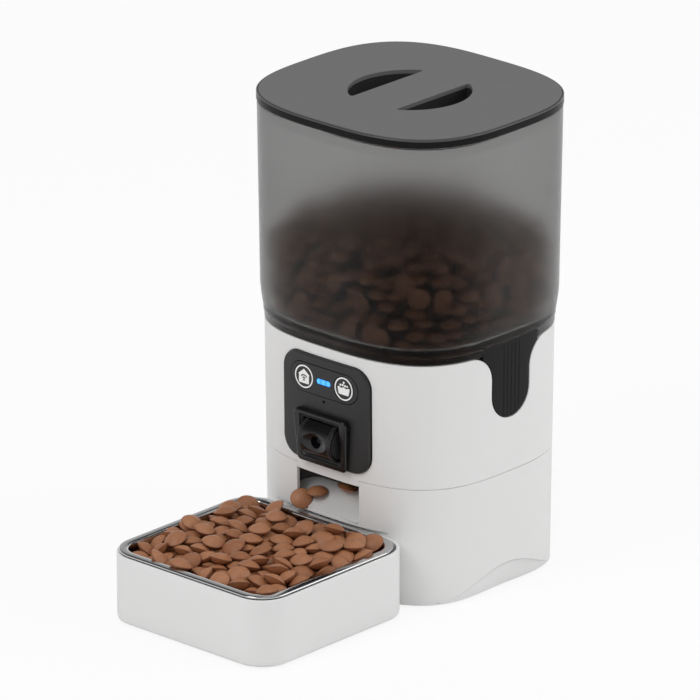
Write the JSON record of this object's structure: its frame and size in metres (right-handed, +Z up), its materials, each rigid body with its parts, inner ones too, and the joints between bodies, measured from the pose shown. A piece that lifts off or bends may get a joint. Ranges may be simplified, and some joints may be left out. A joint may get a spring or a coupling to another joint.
{
  "type": "automatic pet feeder with camera",
  "caption": "Free-standing dry food feeder: lidded smoky hopper on a white base with a food wheel, camera panel, outlet and a pull-out tray with steel bowl.",
  "frame": {"origin": "middle of the footprint of base and tray, on the floor", "axes": "+Z up, -Y to the front where the tray is, +X to the right as seen from behind the tray facing the feeder"},
  "size_m": [0.18, 0.294, 0.3162],
  "materials": {
    "lid_grey": "satin",
    "seal": "matte",
    "white": "satin",
    "light_grey": "matte",
    "smoke": "see-through, smoky",
    "black": "satin",
    "black_gloss": "gloss",
    "dark_grey": "matte",
    "rubber": "matte",
    "steel": "satin",
    "bowl_steel": "polished",
    "brass": "satin",
    "gear": "matte",
    "board": "matte",
    "light": "lit",
    "lens": "polished"
  },
  "bodies": {
    "base": {"base_upper_shell": "white", "base_lower_shell": "white", "bottom_plate": "light_grey", "base_feet": "rubber", "bottom_screws": "steel", "housing_screws": "steel", "gearbox_screws": "steel", "board_screws": "steel", "rotor_housing": "dark_grey", "shaft_bush": "brass", "gear_motor": "steel", "gearbox_frame": "dark_grey", "chute_apron": "white", "chute_tube": "dark_grey", "front_panel": "black", "button_deck": "black_gloss", "status_light": "light", "button_pad": "seal", "panel_board": "board", "microphone": "steel", "camera_hood": "black", "main_board": "board", "speaker": "dark_grey", "power_socket": "black"},
    "hopper": {"hopper_bin": "smoke", "latch_pins": "steel", "latch_springs": "steel"},
    "lid": {"lid_shell": "lid_grey", "lid_seal": "seal", "desiccant_holder": "white"},
    "desiccant_cover": {"desiccant_cover": "light_grey"},
    "latch_left": {"latch_left": "black"},
    "latch_right": {"latch_right": "black"},
    "rotor": {"rotor": "light_grey", "agitator": "rubber", "rotor_shaft": "steel", "drive_gear": "gear"},
    "pinion": {"motor_pinion": "gear", "motor_shaft": "steel"},
    "wifi_button": {"wifi_button": "black_gloss"},
    "feed_button": {"feed_button": "black_gloss"},
    "camera": {"camera_barrel": "black", "barrel_pins": "steel", "lens_ring": "steel", "camera_lens": "lens", "camera_module": "board"},
    "tray": {"tray": "white", "tray_feet": "rubber"},
    "bowl": {"steel_bowl": "bowl_steel"}
  },
  "joints": [
    {"name": "hopper_lift", "type": "slide", "parent": "base", "child": "hopper", "axis": [0, 0, 1], "range_m": [0, 0.06]},
    {"name": "lid_lift", "type": "slide", "parent": "hopper", "child": "lid", "axis": [0, 0, 1], "range_m": [0, 0.04]},
    {"name": "latch_right_press", "type": "hinge", "parent": "hopper", "child": "latch_right", "pos_m": [0.07946, 0.06605, 0.159], "axis": [0, 1, 0], "range_deg": [0, 4], "stiffness_Nm_per_rad": 1},
    {"name": "latch_left_press", "type": "hinge", "parent": "hopper", "child": "latch_left", "pos_m": [-0.07946, 0.06605, 0.159], "axis": [0, -1, 0], "range_deg": [0, 4], "stiffness_Nm_per_rad": 1},
    {"name": "cover_slide", "type": "slide", "parent": "lid", "child": "desiccant_cover", "axis": [0, 1, 0], "range_m": [0, 0.044]},
    {"name": "tray_pull", "type": "slide", "parent": "base", "child": "tray", "axis": [0, -1, 0], "range_m": [0, 0.06]},
    {"name": "bowl_lift", "type": "slide", "parent": "tray", "child": "bowl", "axis": [0, 0, 1], "range_m": [0, 0.034]},
    {"name": "camera_tilt", "type": "hinge", "parent": "base", "child": "camera", "pos_m": [0, -0.0142, 0.1025], "axis": [1, 0, 0], "range_deg": [-20, 20]},
    {"name": "wifi_press", "type": "slide", "parent": "base", "child": "wifi_button", "axis": [0, 1, 0], "range_m": [0, 0.0008], "stiffness_N_per_m": 800},
    {"name": "feed_press", "type": "slide", "parent": "base", "child": "feed_button", "axis": [0, 1, 0], "range_m": [0, 0.0008], "stiffness_N_per_m": 800},
    {"name": "rotor_spin", "type": "hinge", "parent": "base", "child": "rotor", "pos_m": [0, 0.06405, 0.092], "axis": [0, 0, 1], "continuous": true},
    {"name": "pinion_spin", "type": "hinge", "parent": "base", "child": "pinion", "pos_m": [0, 0.0915, 0.08], "axis": [0, 0, 1], "continuous": true}
  ],
  "couplings": [
    {"joint": "pinion_spin", "follows": "rotor_spin", "ratio": -2}
  ]
}
